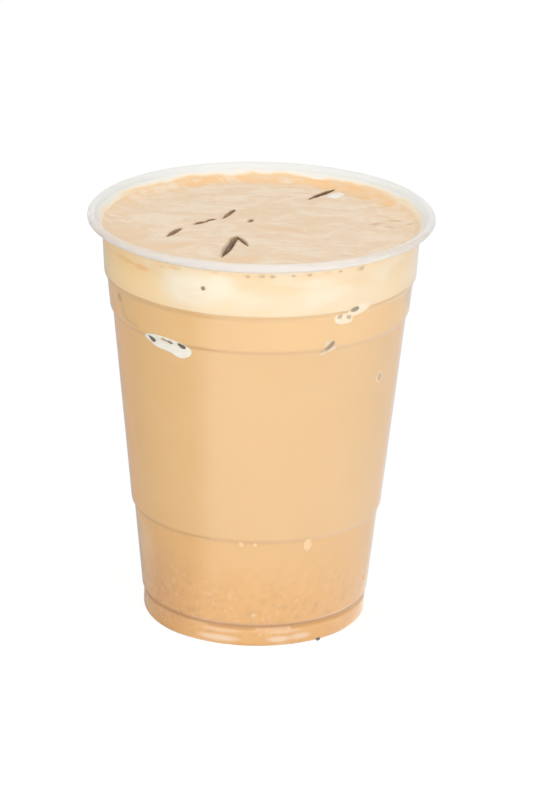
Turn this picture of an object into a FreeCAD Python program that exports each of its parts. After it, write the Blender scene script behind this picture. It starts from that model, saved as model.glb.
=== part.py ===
import FreeCAD, Part
import math
import os

import Sketcher
from FreeCAD import Vector

# An iced dirty chai latte in a one-piece clear plastic cup: the cup, the milky drink
# that fills it and the thick foam that floats on the drink. Millimetres, +Z up,
# with the origin at the middle of the circle that the cup stands on.

# name, size, what it measures
SIZES = (
    ("cupHeight", 120.0, "overall height, from the table to the top of the rim"),
    ("rimDiameter", 98.0, "outside of the rolled rim"),
    ("beadDiameter", 2.3, "thickness of the rolled rim"),
    ("rimOverhang", 4.1, "how far the rim stands out past the collar's top"),
    ("flareHeight", 3.9, "height of the lip that flares from the collar to the rim"),
    ("collarHeight", 13.1, "stacking collar, from its step up to the flared lip"),
    ("collarSpread", 0.75, "how much the collar's radius grows over its height"),
    ("bandHeight", 8.7, "grip band between the two upper steps"),
    ("lowerHeight", 25.1, "lower wall, from the heel up to the low step"),
    ("stepDepth", 0.84, "how far the wall steps out at each of the three steps"),
    ("stepRise", 1.3, "height over which the wall steps out"),
    ("stepRounding", 1.3, "radius at the corners of the steps and the lip"),
    ("wall", 0.5, "wall thickness"),
    ("footDiameter", 64.0, "outside of the foot ring"),
    ("footHeight", 5.5, "height of the foot ring"),
    ("footWidth", 5.0, "radial width of the foot ring at the table"),
    ("footRounding", 2.0, "outer radius under the foot ring"),
    ("grooveDepth", 0.4, "how far the groove above the foot cuts in"),
    ("grooveRise", 1.1, "height from the foot's top to the groove's bottom"),
    ("heelDepth", 0.5, "how far the heel above the groove stands out past the foot"),
    ("heelRise", 1.5, "height from the groove's bottom to the heel"),
    ("panelRise", 3.2, "height of the sunk base panel above the table"),
    ("panelRun", 1.1, "radial run of the slope from the foot ring up to the panel"),
    ("headspace", 4.5, "from the top of the rim down to the mean level of the foam"),
    ("foamDepth", 12.0, "depth of the foam, down to the drink"),
    ("reliefDepth", 0.25, "most that the foam swells above or dips below its level"),
    ("reliefPitch", 26.0, "distance from one swell of the foam to the next"),
    ("meniscusRise", 1.3, "how far the foam clings up the wall"),
    ("meniscusWidth", 2.2, "how far in from the wall the foam starts to climb"),
)

# Radii and heights along the wall, each worked out from the sizes.
PROFILE = (
    ("footRadius", "sizes.footDiameter / 2"),
    ("footInnerRadius", "profile.footRadius - sizes.footWidth"),
    ("panelRadius", "profile.footInnerRadius - sizes.panelRun"),
    ("grooveRadius", "profile.footRadius - sizes.grooveDepth"),
    ("grooveLevel", "sizes.footHeight + sizes.grooveRise"),
    ("heelRadius", "profile.footRadius + sizes.heelDepth"),
    ("heelLevel", "profile.grooveLevel + sizes.heelRise"),
    ("lowStepLevel", "profile.heelLevel + sizes.lowerHeight"),
    ("bodyFootLevel", "profile.lowStepLevel + sizes.stepRise"),
    ("flareLevel", "sizes.cupHeight - sizes.flareHeight"),
    ("collarTopRadius", "sizes.rimDiameter / 2 - sizes.rimOverhang"),
    ("collarFootLevel", "profile.flareLevel - sizes.collarHeight"),
    ("collarFootRadius", "profile.collarTopRadius - sizes.collarSpread"),
    ("collarStepLevel", "profile.collarFootLevel - sizes.stepRise"),
    ("bandTopRadius", "profile.collarFootRadius - sizes.stepDepth"),
    ("bandFootLevel", "profile.collarStepLevel - sizes.bandHeight"),
    ("highStepLevel", "profile.bandFootLevel - sizes.stepRise"),
    ("bodyHeight", "profile.highStepLevel - profile.bodyFootLevel"),
    # The lower wall, the body and the band all widen at this one slope.
    (
        "taper",
        "(profile.bandTopRadius - 2 * sizes.stepDepth - profile.heelRadius)"
        " / (sizes.lowerHeight + profile.bodyHeight + sizes.bandHeight)",
    ),
    ("lowerTopRadius", "profile.heelRadius + profile.taper * sizes.lowerHeight"),
    ("bodyFootRadius", "profile.lowerTopRadius + sizes.stepDepth"),
    ("bodyTopRadius", "profile.bodyFootRadius + profile.taper * profile.bodyHeight"),
    ("bandFootRadius", "profile.bodyTopRadius + sizes.stepDepth"),
    # The inside of the lip runs straight from the collar to touch the bead.
    ("beadRadius", "sizes.beadDiameter / 2"),
    ("beadCentreRadius", "sizes.rimDiameter / 2 - profile.beadRadius"),
    ("beadCentreLevel", "sizes.cupHeight - profile.beadRadius"),
    ("lipRadius", "profile.collarTopRadius - sizes.wall"),
    ("lipRun", "profile.beadCentreRadius - profile.lipRadius"),
    ("lipRise", "profile.beadCentreLevel - profile.flareLevel"),
    ("lipSquare", "profile.lipRun ^ 2 + profile.lipRise ^ 2"),
    ("lipLength", "sqrt(profile.lipSquare - profile.beadRadius ^ 2)"),
    (
        "touchRun",
        "profile.lipLength / profile.lipSquare"
        " * (profile.lipLength * profile.lipRun - profile.beadRadius * profile.lipRise)",
    ),
    (
        "touchRise",
        "profile.lipLength / profile.lipSquare"
        " * (profile.lipLength * profile.lipRise + profile.beadRadius * profile.lipRun)",
    ),
    ("touchRadius", "profile.lipRadius + profile.touchRun"),
    ("touchLevel", "profile.flareLevel + profile.touchRise"),
    ("foamLevel", "sizes.cupHeight - sizes.headspace"),
    ("drinkLevel", "profile.foamLevel - sizes.foamDepth"),
)

# The wall's corners from the foot's top up to the lip, as radius and level.
WALL_CORNERS = (
    ("profile.footRadius", "sizes.footHeight"),
    ("profile.grooveRadius", "profile.grooveLevel"),
    ("profile.heelRadius", "profile.heelLevel"),
    ("profile.lowerTopRadius", "profile.lowStepLevel"),
    ("profile.bodyFootRadius", "profile.bodyFootLevel"),
    ("profile.bodyTopRadius", "profile.highStepLevel"),
    ("profile.bandFootRadius", "profile.bandFootLevel"),
    ("profile.bandTopRadius", "profile.collarStepLevel"),
    ("profile.collarFootRadius", "profile.collarFootLevel"),
    ("profile.collarTopRadius", "profile.flareLevel"),
)
GROOVE_CORNERS = WALL_CORNERS[:3]
STEP_CORNERS = WALL_CORNERS[3:]

AXIS = "0"
TABLE = "0"
RELIEF_STEPS = 22
SWELLS = 3


def make_sizes(doc):
    """The sheet that holds every driving dimension."""
    sheet = doc.addObject("Spreadsheet::Sheet", "sizes")
    for row, (name, size, meaning) in enumerate(SIZES, start=1):
        sheet.set(f"A{row}", name)
        sheet.set(f"B{row}", str(size))
        sheet.set(f"C{row}", meaning)
        sheet.setAlias(f"B{row}", name)
    doc.recompute()


def make_profile(doc):
    """The radii and heights that follow from the sheet."""
    profile = doc.addObject("App::VarSet", "profile")
    for name, _ in PROFILE:
        profile.addProperty("App::PropertyFloat", name, "Wall")
    for name, formula in PROFILE:
        profile.setExpression(name, formula.replace("profile.", ""))
    doc.recompute()
    return profile


def size(doc, formula):
    """The present value of a formula of sizes and profile values."""
    return float(doc.getObject("profile").evalExpression(formula))


def inside(corner):
    """The corner of the inner wall that faces a corner of the outer wall."""
    radius, level = corner
    return (f"{radius} - sizes.wall", level)


def bind_corner(sketch, line, radius, level):
    """Holds a line's start at a radius and a level."""
    doc = sketch.Document
    ways = (("DistanceX", radius, AXIS, -2), ("DistanceY", level, TABLE, -1))
    for kind, formula, zero, axis in ways:
        if formula == zero:
            sketch.addConstraint(Sketcher.Constraint("PointOnObject", line, 1, axis))
            continue
        held = Sketcher.Constraint(kind, -1, 1, line, 1, size(doc, formula))
        index = sketch.addConstraint(held)
        sketch.setExpression(f"Constraints[{index}]", formula)


def upright_sketch(body, name):
    """An empty sketch on the upright plane through the cup's axis."""
    sketch = body.newObject("Sketcher::SketchObject", name)
    planes = [o for o in body.Origin.OriginFeatures if o.Role == "XZ_Plane"]
    sketch.AttachmentSupport = (planes[0], "")
    sketch.MapMode = "FlatFace"
    return sketch


def outline_sketch(body, name, corners):
    """A closed outline through corners that are given by formulas."""
    sketch = upright_sketch(body, name)
    doc = body.Document
    places = [Vector(size(doc, r), size(doc, z), 0) for r, z in corners]
    count = len(places)
    for i, start in enumerate(places):
        sketch.addGeometry(Part.LineSegment(start, places[(i + 1) % count]), False)
    for i in range(count):
        joined = Sketcher.Constraint("Coincident", i, 2, (i + 1) % count, 1)
        sketch.addConstraint(joined)
    for i, (radius, level) in enumerate(corners):
        bind_corner(sketch, i, radius, level)
    return sketch


def turn(body, sketch, name):
    """Turns a sketch into a solid about the cup's axis."""
    revolution = body.newObject("PartDesign::Revolution", name)
    revolution.Profile = sketch
    revolution.ReferenceAxis = (sketch, ["V_Axis"])
    revolution.Angle = 360
    body.Tip = revolution
    body.Document.recompute()
    return revolution


def round_corners(body, name, corners, radius):
    """Rounds the rings that a body's outline corners turned into."""
    doc = body.Document
    base = body.Tip
    rings = []
    for corner_radius, level in corners:
        r, z = size(doc, corner_radius), size(doc, level)
        for index, edge in enumerate(base.Shape.Edges, start=1):
            curve = edge.Curve
            ring = isinstance(curve, Part.Circle) and abs(curve.Radius - r) < 1e-4
            if ring and abs(curve.Center.z - z) < 1e-4:
                rings.append(f"Edge{index}")
    if len(rings) != len(corners):
        raise ValueError(f"{name}: {len(rings)} rings for {len(corners)} corners")
    fillet = body.newObject("PartDesign::Fillet", name)
    fillet.Base = (base, rings)
    fillet.setExpression("Radius", radius)
    body.Tip = fillet
    doc.recompute()


def round_wall(body, place, rounding):
    """The roundings that the outside and the inside of the wall share."""
    steps = [place(corner) for corner in STEP_CORNERS]
    groove = [place(corner) for corner in GROOVE_CORNERS]
    round_corners(body, f"{body.Name}Steps", steps, "sizes.stepRounding")
    round_corners(body, f"{body.Name}Groove", groove, "sizes.wall")
    foot = place(("profile.footRadius", TABLE))
    if rounding != "sizes.footRounding":
        foot = (foot[0], "sizes.wall")
    round_corners(body, f"{body.Name}Foot", [foot], rounding)


def make_outside(doc):
    """The cup as if it were solid, with its rolled rim."""
    body = doc.addObject("PartDesign::Body", "outside")
    corners = [
        (AXIS, "sizes.panelRise"),
        ("profile.panelRadius", "sizes.panelRise"),
        ("profile.footInnerRadius", TABLE),
        ("profile.footRadius", TABLE),
        *WALL_CORNERS,
        ("profile.beadCentreRadius", "profile.beadCentreLevel"),
        ("profile.touchRadius", "profile.touchLevel"),
        (AXIS, "profile.touchLevel"),
    ]
    turn(body, outline_sketch(body, "outsideOutline", corners), "outsideTurned")
    round_wall(body, lambda corner: corner, "sizes.footRounding")

    sketch = upright_sketch(body, "beadOutline")
    centre = ("profile.beadCentreRadius", "profile.beadCentreLevel")
    place = Vector(size(doc, centre[0]), size(doc, centre[1]), 0)
    radius = size(doc, "profile.beadRadius")
    sketch.addGeometry(Part.Circle(place, Vector(0, 0, 1), radius), False)
    held = (
        (Sketcher.Constraint("DistanceX", -1, 1, 0, 3, place.x), centre[0]),
        (Sketcher.Constraint("DistanceY", -1, 1, 0, 3, place.y), centre[1]),
        (Sketcher.Constraint("Radius", 0, radius), "profile.beadRadius"),
    )
    for constraint, formula in held:
        index = sketch.addConstraint(constraint)
        sketch.setExpression(f"Constraints[{index}]", formula)
    turn(body, sketch, "bead")
    return body


def make_cavity(doc):
    """The space inside the cup, from the base panel to above the rim."""
    body = doc.addObject("PartDesign::Body", "cavity")
    past_rim = ("profile.touchRadius + profile.touchRun", "profile.touchLevel + profile.touchRise")
    corners = [
        (AXIS, "sizes.panelRise + sizes.wall"),
        ("profile.panelRadius + sizes.wall", "sizes.panelRise + sizes.wall"),
        ("profile.footInnerRadius + sizes.wall", "sizes.wall"),
        ("profile.footRadius - sizes.wall", "sizes.wall"),
        *[inside(corner) for corner in WALL_CORNERS],
        past_rim,
        (AXIS, past_rim[1]),
    ]
    turn(body, outline_sketch(body, "cavityOutline", corners), "cavityTurned")
    round_wall(body, inside, "sizes.footRounding - sizes.wall")
    return body


def boolean(doc, kind, label, base, tool):
    """A boolean of two objects, labelled as the sub-part that it makes."""
    result = doc.addObject(kind, f"{label}Solid")
    result.Base = base
    result.Tool = tool
    result.Label = label
    return result


def make_drink(doc, cavity):
    """The drink fills the cavity from the base up to the foam."""
    block = doc.addObject("Part::Cylinder", "drinkBlock")
    block.setExpression("Radius", "sizes.rimDiameter")
    block.setExpression("Height", "profile.drinkLevel")
    return boolean(doc, "Part::Common", "latte", cavity, block)


def foam_height(x, y, level, depth, pitch):
    """The height of the foam's gently swollen top at a place."""
    swell = 0.0
    for k in range(SWELLS):
        heading = math.radians(25 + 62 * k)
        along = x * math.cos(heading) + y * math.sin(heading)
        swell += math.sin(2 * math.pi * along / (pitch * (1 + 0.3 * k)) + 1.7 * k)
    return level + depth * swell / SWELLS


def make_foam_block(doc):
    """A square block whose underside is the drink's level and whose top swells."""
    half = size(doc, "sizes.rimDiameter / 2")
    bottom = size(doc, "profile.drinkLevel")
    level = size(doc, "profile.foamLevel")
    depth = size(doc, "sizes.reliefDepth")
    pitch = size(doc, "sizes.reliefPitch")
    marks = [half * (2 * i / RELIEF_STEPS - 1) for i in range(RELIEF_STEPS + 1)]
    grid = [[Vector(x, y, foam_height(x, y, level, depth, pitch)) for y in marks] for x in marks]
    top = Part.BSplineSurface()
    top.interpolate(grid)
    # The block under the swollen top, less what lies below the drink's level.
    tall = top.toShape().extrude(Vector(0, 0, -2 * (level - bottom)))
    floor = Part.makeBox(4 * half, 4 * half, 4 * half, Vector(-2 * half, -2 * half, bottom - 4 * half))
    block = doc.addObject("Part::Feature", "foamBlock")
    block.Shape = tall.cut(floor)
    return block


def make_meniscus(doc):
    """The ring of foam that clings to the wall, wider than the cup where it meets it."""
    body = doc.addObject("PartDesign::Body", "meniscus")
    wall_radius = "profile.lipRadius"
    low = "profile.foamLevel - sizes.reliefDepth"
    corners = [
        (f"{wall_radius} - sizes.meniscusWidth", low),
        ("profile.beadCentreRadius", low),
        ("profile.beadCentreRadius", "profile.foamLevel + sizes.meniscusRise"),
        (wall_radius, "profile.foamLevel + sizes.meniscusRise"),
        (f"{wall_radius} - 0.35 * sizes.meniscusWidth", "profile.foamLevel + 0.3 * sizes.meniscusRise"),
    ]
    turn(body, outline_sketch(body, "meniscusOutline", corners), "meniscusTurned")
    return body


def make_foam(doc, cavity):
    """The foam fills the cavity above the drink."""
    clinging = boolean(doc, "Part::Fuse", "foamShape", make_foam_block(doc), make_meniscus(doc))
    return boolean(doc, "Part::Common", "foam", cavity, clinging)


def check(doc, parts):
    """Stops if an object failed, or a sub-part is not one valid solid."""
    for o in doc.Objects:
        if {"Invalid", "Error"} & set(o.State):
            raise RuntimeError(f"{o.Label}: {o.State}")
    for part in parts:
        shape = part.Shape
        if shape.isNull() or not shape.isValid() or len(shape.Solids) != 1:
            raise RuntimeError(f"{part.Label} is not one valid solid")


def main():
    doc = FreeCAD.newDocument("chai_latte")
    make_sizes(doc)
    make_profile(doc)
    outside = make_outside(doc)
    cavity = make_cavity(doc)
    cup = boolean(doc, "Part::Cut", "cup", outside, cavity)
    parts = [cup, make_drink(doc, cavity), make_foam(doc, cavity)]
    doc.recompute()
    check(doc, parts)
    os.makedirs("parts", exist_ok=True)
    for part in parts:
        part.Shape.exportStep(f"parts/{part.Label}.step")
        box = part.Shape.BoundBox
        print(f"{part.Label}: {part.Shape.Volume / 1000:.2f} ml, z {box.ZMin:.2f} to {box.ZMax:.2f}")


main()
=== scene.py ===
import math
import random

import bpy
from mathutils import Matrix, Vector


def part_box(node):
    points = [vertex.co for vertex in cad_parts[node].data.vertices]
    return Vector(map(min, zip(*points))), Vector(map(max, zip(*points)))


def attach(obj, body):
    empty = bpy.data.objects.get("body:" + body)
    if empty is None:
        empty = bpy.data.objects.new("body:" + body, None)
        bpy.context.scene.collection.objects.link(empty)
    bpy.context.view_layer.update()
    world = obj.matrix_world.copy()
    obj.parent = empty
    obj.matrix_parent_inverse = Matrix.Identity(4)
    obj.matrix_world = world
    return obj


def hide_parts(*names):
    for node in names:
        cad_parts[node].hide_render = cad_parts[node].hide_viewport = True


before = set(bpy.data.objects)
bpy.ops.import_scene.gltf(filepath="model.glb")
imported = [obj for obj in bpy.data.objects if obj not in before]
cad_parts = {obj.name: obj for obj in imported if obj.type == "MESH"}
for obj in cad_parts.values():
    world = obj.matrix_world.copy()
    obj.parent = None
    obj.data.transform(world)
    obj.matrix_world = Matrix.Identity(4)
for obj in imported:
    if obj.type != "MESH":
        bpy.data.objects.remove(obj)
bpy.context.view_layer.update()  # the cup, the latte and the foam as they were packed
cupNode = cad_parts["cup"]
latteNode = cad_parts["latte"]
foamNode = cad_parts["foam"]
random.seed(11)


def deselectAll():
    if bpy.context.object and bpy.context.object.mode != "OBJECT":
        bpy.ops.object.mode_set(mode="OBJECT")
    bpy.ops.object.select_all(action="DESELECT")


def pick(piece):
    deselectAll()
    piece.select_set(True)
    bpy.context.view_layer.objects.active = piece


def startEdit():
    # edit mode with everything chosen
    bpy.ops.object.mode_set(mode="EDIT")
    bpy.ops.mesh.select_all(action="SELECT")


def endEdit():
    bpy.ops.object.mode_set(mode="OBJECT")


def newest(name):
    piece = bpy.context.object
    piece.name = name
    piece.data.name = name
    return piece


def setOrigin(piece):
    # the piece's place goes into its mesh, as on the nodes of the frame
    pick(piece)
    bpy.ops.object.transform_apply(location=True, rotation=True, scale=True)


def applyModifiers(piece):
    pick(piece)
    for modifier in list(piece.modifiers):
        bpy.ops.object.modifier_apply(modifier=modifier.name)


def joinPieces(pieces, name):
    deselectAll()
    for piece in pieces:
        piece.select_set(True)
    bpy.context.view_layer.objects.active = pieces[0]
    if len(pieces) > 1:
        bpy.ops.object.join()
    return newest(name)


def turnNormalsOut(piece):
    pick(piece)
    startEdit()
    bpy.ops.mesh.remove_doubles(threshold=1e-6)
    bpy.ops.mesh.normals_make_consistent(inside=False)
    endEdit()


def smoothShade(piece, degrees):
    pick(piece)
    bpy.ops.object.shade_smooth_by_angle(angle=math.radians(degrees))


def selectPoints(piece, wanted):
    # leaves the piece in edit mode with only the points chosen whose place is wanted
    bpy.ops.object.mode_set(mode="EDIT")
    bpy.ops.mesh.select_mode(type="VERT")
    bpy.ops.mesh.select_all(action="DESELECT")
    endEdit()
    for vertex in piece.data.vertices:
        vertex.select = wanted(vertex.co)
    bpy.ops.object.mode_set(mode="EDIT")


def copyOf(piece, name):
    # a copy that has its own mesh
    other = piece.copy()
    other.data = piece.data.copy()
    other.name = name
    bpy.context.scene.collection.objects.link(other)
    return other


def facing(degrees):
    # 0 faces the front, and positive turns to the right
    turn = math.radians(degrees)
    return Vector((math.sin(turn), -math.cos(turn), 0))


def wallSpot(node, degrees, level):
    # the outermost point of a node at this turn and level
    way = facing(degrees)
    hit, spot, _, _ = node.ray_cast(way * wallSet["reach"] + Vector((0, 0, level)), -way)
    if not hit:
        raise ValueError(f"nothing to touch at {level}")
    return spot


def innerSpot(degrees, level):
    # where the inside of the cup's wall is at this turn and level
    hit, spot, _, _ = cupNode.ray_cast(Vector((0, 0, level)), facing(degrees))
    if not hit:
        raise ValueError(f"no wall at {level}")
    return spot


wallSet = {
    "reach": 0.08,  # further out than any wall
    "turn": 3.0,  # where the walls are measured
    "step": 0.0002,
    "bend": 0.06,  # a ring is kept where the wall bends more than this
    "longest": 0.009,  # and at least this often
}


def wallRadius(node, level):
    spot = wallSpot(node, wallSet["turn"], level)
    return math.hypot(spot.x, spot.y)


def wallRings(node, low, high, outward):
    # rings up the wall, close together only where it bends
    count = round((high - low) / wallSet["step"])
    levels = [low + (high - low) * i / count for i in range(count + 1)]
    radii = [wallRadius(node, level) for level in levels]
    rings = [(radii[0] + outward, levels[0])]
    last = 0
    for i in range(1, count):
        before = (radii[i] - radii[last]) / (levels[i] - levels[last])
        after = (radii[i + 1] - radii[i]) / (levels[i + 1] - levels[i])
        if abs(after - before) > wallSet["bend"] or levels[i] - levels[last] > wallSet["longest"]:
            rings.append((radii[i] + outward, levels[i]))
            last = i
    rings.append((radii[-1] + outward, levels[-1]))
    return rings


def extrudeRings(rings):
    # carries the selected disc through the rings, each a radius and a level
    radius, level = rings[0]
    for nextRadius, nextLevel in rings[1:]:
        bpy.ops.mesh.extrude_region_move(TRANSFORM_OT_translate={"value": (0, 0, nextLevel - level)})
        grow = nextRadius / radius
        bpy.ops.transform.resize(value=(grow, grow, 1), center_override=(0, 0, nextLevel))
        radius, level = nextRadius, nextLevel


def startDisc(name, radius, level, segments, fill="NGON", kind="FACE"):
    deselectAll()
    bpy.ops.mesh.primitive_circle_add(vertices=segments, radius=radius, fill_type=fill, location=(0, 0, level))
    piece = newest(name)
    setOrigin(piece)
    bpy.ops.object.mode_set(mode="EDIT")
    bpy.ops.mesh.select_mode(type=kind)
    bpy.ops.mesh.select_all(action="SELECT")
    return piece


def newMaterial(name, color, roughness, specular=0.5):
    material = bpy.data.materials.new(name)
    material.use_nodes = True
    shader = material.node_tree.nodes["Principled BSDF"]
    shader.inputs["Base Color"].default_value = (*color, 1)
    shader.inputs["Roughness"].default_value = roughness
    shader.inputs["Specular IOR Level"].default_value = specular
    return material, shader


def addNode(material, kind, inputs=None, **settings):
    tree = material.node_tree
    node = tree.nodes.new(kind)
    for name, value in settings.items():
        setattr(node, name, value)
    for key, value in (inputs or {}).items():
        if isinstance(value, bpy.types.NodeSocket):
            tree.links.new(value, node.inputs[key])
        else:
            node.inputs[key].default_value = value
    return node


def objectPlace(material):
    return addNode(material, "ShaderNodeTexCoord").outputs["Object"]


def partsOf(material, place):
    parts = addNode(material, "ShaderNodeSeparateXYZ", {"Vector": place}).outputs
    return parts["X"], parts["Y"], parts["Z"]


def fromAxis(material, x, y):
    # how far a place is from the cup's axis
    flat = addNode(material, "ShaderNodeCombineXYZ", {0: x, 1: y}).outputs[0]
    return addNode(material, "ShaderNodeVectorMath", {0: flat}, operation="LENGTH").outputs["Value"]


def mapPlace(material, place, location=(0, 0, 0), rotation=(0, 0, 0), scale=(1, 1, 1), kind="POINT"):
    settings = {"Vector": place, "Location": location, "Rotation": rotation, "Scale": scale}
    return addNode(material, "ShaderNodeMapping", settings, vector_type=kind).outputs["Vector"]


def noiseOf(material, place, scale, detail, roughness=0.55, distortion=0.0):
    settings = {
        "Vector": place, "Scale": scale, "Detail": detail, "Roughness": roughness, "Distortion": distortion
    }
    return addNode(material, "ShaderNodeTexNoise", settings).outputs["Fac"]


def spread(material, value, toLow, toHigh, low=0.0, high=1.0, **settings):
    # a straight change from toLow to toHigh, unless the settings say another
    limits = {"Value": value, "From Min": low, "From Max": high, "To Min": toLow, "To Max": toHigh}
    return addNode(material, "ShaderNodeMapRange", limits, **settings).outputs["Result"]


def fade(material, value, low, high, toLow=0.0, toHigh=1.0):
    # a smooth change from toLow to toHigh as value goes from low to high
    return spread(material, value, toLow, toHigh, low, high, interpolation_type="SMOOTHSTEP")


def calculate(material, operation, first, second):
    return addNode(material, "ShaderNodeMath", {0: first, 1: second}, operation=operation).outputs[0]


def mixColors(material, factor, first, second):
    node = addNode(material, "ShaderNodeMix", data_type="RGBA")
    tree = material.node_tree
    for socket, value in ((node.inputs[0], factor), (node.inputs[6], first), (node.inputs[7], second)):
        if isinstance(value, tuple):
            socket.default_value = (*value, 1)
        else:
            tree.links.new(value, socket)
    return node.outputs[2]


def paint(material, color, over, *fades):
    # mixes another color over this one, as strongly as all its fades say together
    strength = None
    for each in fades:
        part = fade(material, *each) if isinstance(each, tuple) else each
        strength = part if strength is None else calculate(material, "MULTIPLY", strength, part)
    return mixColors(material, strength, color, over)


def paintLayers(material, color, settings, layers, measures):
    # a layer is the name of its color, then what each fade follows and from where to where it goes
    for name, *fades in layers:
        color = paint(material, color, settings[name], *((measures[kind], *limits) for kind, *limits in fades))
    return color


def spotAt(material, place, centre, turn, size):
    # 1 at the centre, 0 at the edge of an ellipsoid that is turned about the cup's axis
    inside = mapPlace(material, place, centre, (0, 0, math.radians(turn)), size, "TEXTURE")
    return addNode(
        material, "ShaderNodeTexGradient", {"Vector": inside}, gradient_type="SPHERICAL"
    ).outputs["Fac"]


def spotOnWall(material, place, node, turn, level, size):
    centre = facing(turn) * wallRadius(node, level)
    return spotAt(material, place, (centre.x, centre.y, level), turn, size)


def addBump(material, shader, height, distance, strength):
    settings = {"Height": height, "Distance": distance, "Strength": strength}
    feed(material, shader, "Normal", addNode(material, "ShaderNodeBump", settings).outputs["Normal"])


def feed(material, shader, name, value):
    material.node_tree.links.new(value, shader.inputs[name])


def makeSoft(shader, weight, radius, scale):
    # light goes a little way in
    shader.inputs["Subsurface Weight"].default_value = weight
    shader.inputs["Subsurface Radius"].default_value = radius
    shader.inputs["Subsurface Scale"].default_value = scale


def makeClouded(name, color, tip, settings):
    # one color with soft clouds of another
    material, shader = newMaterial(name, color, *settings["finish"])
    cloud = noiseOf(material, objectPlace(material), *settings["cloud"])
    feed(material, shader, "Base Color", paint(material, color, tip, (cloud, *settings["fade"])))
    return material, shader, cloud


def seenClearly(material):
    # 1 where the eye looks straight, in a reflection or through the clear wall
    path = addNode(material, "ShaderNodeLightPath").outputs
    seen = calculate(material, "MAXIMUM", path["Is Camera Ray"], path["Is Glossy Ray"])
    return calculate(material, "MAXIMUM", seen, path["Is Transmission Ray"])


def letLampsThrough(material, shader, tint):
    # lamps and the light of the room reach what is behind the clear wall
    path = addNode(material, "ShaderNodeLightPath").outputs
    either = calculate(material, "MAXIMUM", path["Is Shadow Ray"], path["Is Diffuse Ray"])
    clear = addNode(material, "ShaderNodeBsdfTransparent", {"Color": (*tint, 1)}).outputs["BSDF"]
    mix = addNode(material, "ShaderNodeMixShader", {0: either, 1: shader.outputs["BSDF"], 2: clear})
    feed(material, material.node_tree.nodes["Material Output"], "Surface", mix.outputs["Shader"])


def finishPiece(piece):
    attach(piece, "root")


cameraSet = {
    "aim": (0.00242, 0.0, 0.060),
    "raise": 0.00337,  # how far above the cup's middle the view is centred
    "distance": 1.25,
    "elevation": 20.0,
    "roll": 1.12,
    "lens": 196.7,
}


def makeCamera():
    up = math.radians(cameraSet["elevation"])
    back = Vector((0, -math.cos(up), math.sin(up)))
    lift = Vector((0, math.sin(up), math.cos(up))) * cameraSet["raise"]
    data = bpy.data.cameras.new("camera")
    data.lens = cameraSet["lens"]
    data.sensor_width = 36
    data.clip_start = 0.05
    camera = bpy.data.objects.new("camera", data)
    bpy.context.scene.collection.objects.link(camera)
    camera.location = Vector(cameraSet["aim"]) + lift + back * cameraSet["distance"]
    tilt = Matrix.Rotation(math.pi / 2 - up, 4, "X")
    roll = Matrix.Rotation(math.radians(cameraSet["roll"]), 4, "Z")
    camera.rotation_euler = (tilt @ roll).to_euler()
    bpy.context.scene.camera = camera


lampSet = {
    # name: place, aim, width, height, power
    "softboxFront": ((0.42, -1.15, 0.75), (0, 0, 0.06), 0.9, 0.9, 8.3),
    "softboxLeft": ((-0.95, -0.55, 0.60), (0, 0, 0.06), 0.6, 0.8, 2.6),
    "softboxTop": ((0.10, 0.15, 1.20), (0, 0, 0.10), 0.9, 0.9, 3.0),
}


def makeLamps():
    for name, (place, aim, width, height, power) in lampSet.items():
        data = bpy.data.lights.new(name, "AREA")
        data.shape = "RECTANGLE"
        data.size, data.size_y = width, height
        data.energy = power
        lamp = bpy.data.objects.new(name, data)
        bpy.context.scene.collection.objects.link(lamp)
        lamp.location = place
        away = Vector(place) - Vector(aim)
        lamp.rotation_euler = away.to_track_quat("Z", "Y").to_euler()
        lamp.visible_camera = False


roomSet = {
    "white": 1.0,
    "fill": 0.55,
    "floorSize": 6.0,
    "floorColor": (0.92, 0.92, 0.92),
    "floorGlow": 0.93,
    "floorShade": (0.10, 0.10, 0.10),
}


def makeRoom():
    # the room is plain white to the eye and in reflections, and gives a dimmer even fill
    world = bpy.data.worlds.new("room")
    bpy.context.scene.world = world
    world.use_nodes = True
    background = world.node_tree.nodes["Background"]
    background.inputs["Color"].default_value = (1, 1, 1, 1)
    feed(world, background, "Strength", spread(world, seenClearly(world), roomSet["fill"], roomSet["white"]))


def makeFloor():
    deselectAll()
    bpy.ops.mesh.primitive_plane_add(size=roomSet["floorSize"], location=(0, 0, 0))
    floor = newest("floor")
    material, shader = newMaterial("whiteTable", roomSet["floorColor"], 0.6, 0.0)
    clear = seenClearly(material)
    # to the eye most of the white is glow, and the rest is lit and keeps the shadow
    color = mixColors(material, clear, roomSet["floorColor"], roomSet["floorShade"])
    feed(material, shader, "Base Color", color)
    shader.inputs["Emission Color"].default_value = (1, 1, 1, 1)
    feed(material, shader, "Emission Strength", calculate(material, "MULTIPLY", clear, roomSet["floorGlow"]))
    floor.data.materials.append(material)


cardSet = {
    "size": 1.6,
    "above": 0.0003,
    "strength": 2.4,
    "near": (0.045, 0.110, 0.82, 1.0),  # dimmer close to the cup: from, to, and its share at both
    # how bright the card is at each turn round the cup, 0 is the front
    "shades": (
        (-180, 0.20), (-110, 0.15), (-64, 0.20), (-51, 0.22), (-31, 0.92), (60, 1.0), (115, 0.48), (180, 0.25)
    ),
}


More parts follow.
